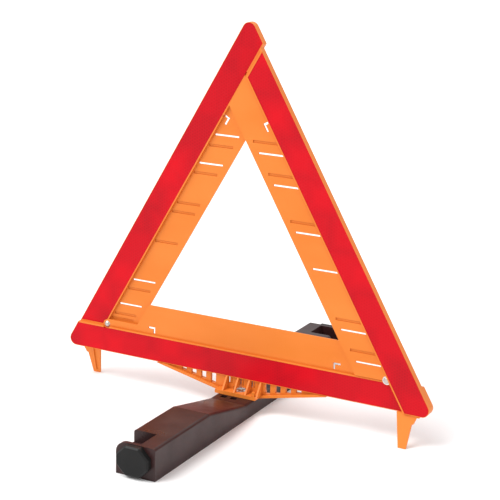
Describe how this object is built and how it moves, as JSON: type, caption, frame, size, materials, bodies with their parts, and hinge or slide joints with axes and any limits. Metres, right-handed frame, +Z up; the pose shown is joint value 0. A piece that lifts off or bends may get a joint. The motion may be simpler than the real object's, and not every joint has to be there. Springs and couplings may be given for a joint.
{
  "type": "warning triangle",
  "caption": "Folding roadside warning triangle: hinged reflector frames on a weighted base that swivels under them.",
  "frame": {"origin": "on the ground under the swivel axis, at the middle of the base", "axes": "+Z up, the triangle faces -Y, the base runs along Y"},
  "size_m": [0.4454, 0.449, 0.4232],
  "materials": {
    "base_plastic": "matte",
    "cover_plastic": "matte",
    "cap_plastic": "matte",
    "ballast_steel": "rough",
    "screw_steel": "satin",
    "rivet_steel": "satin",
    "washer_steel": "satin",
    "friction_nylon": "satin",
    "fluorescent_orange": "satin",
    "reflector_red": "gloss"
  },
  "bodies": {
    "base": {"base_shell": "base_plastic", "base_bottom_cover": "cover_plastic", "cover_screws": "screw_steel", "front_end_cap": "cap_plastic", "rear_end_cap": "cap_plastic", "ballast_bar": "ballast_steel", "swivel_rivet": "rivet_steel", "swivel_top_washer": "washer_steel", "swivel_friction_washer": "friction_nylon", "swivel_backing_washer": "washer_steel"},
    "bottom_panel": {"bottom_frame": "fluorescent_orange", "bottom_front_reflector": "reflector_red", "bottom_rear_reflector": "reflector_red", "left_rivet": "rivet_steel", "left_rivet_washer": "washer_steel", "right_rivet": "rivet_steel", "right_rivet_washer": "washer_steel"},
    "left_arm": {"left_frame": "fluorescent_orange", "left_front_reflector": "reflector_red", "left_rear_reflector": "reflector_red"},
    "right_arm": {"right_frame": "fluorescent_orange", "right_front_reflector": "reflector_red", "right_rear_reflector": "reflector_red"}
  },
  "joints": [
    {"name": "swivel", "type": "hinge", "parent": "base", "child": "bottom_panel", "pos_m": [0, 0, 0.017], "axis": [0, 0, 1], "range_deg": [0, 90]},
    {"name": "left_fold", "type": "hinge", "parent": "bottom_panel", "child": "left_arm", "pos_m": [-0.17361, 0.0047, 0.06705], "axis": [0, 1, 0], "range_deg": [0, 60]},
    {"name": "right_fold", "type": "hinge", "parent": "bottom_panel", "child": "right_arm", "pos_m": [0.17361, -0.0047, 0.06705], "axis": [0, -1, 0], "range_deg": [0, 60]}
  ],
  "couplings": [
    {"joint": "left_fold", "follows": "swivel", "ratio": 0.66666},
    {"joint": "right_fold", "follows": "swivel", "ratio": 0.66666}
  ]
}
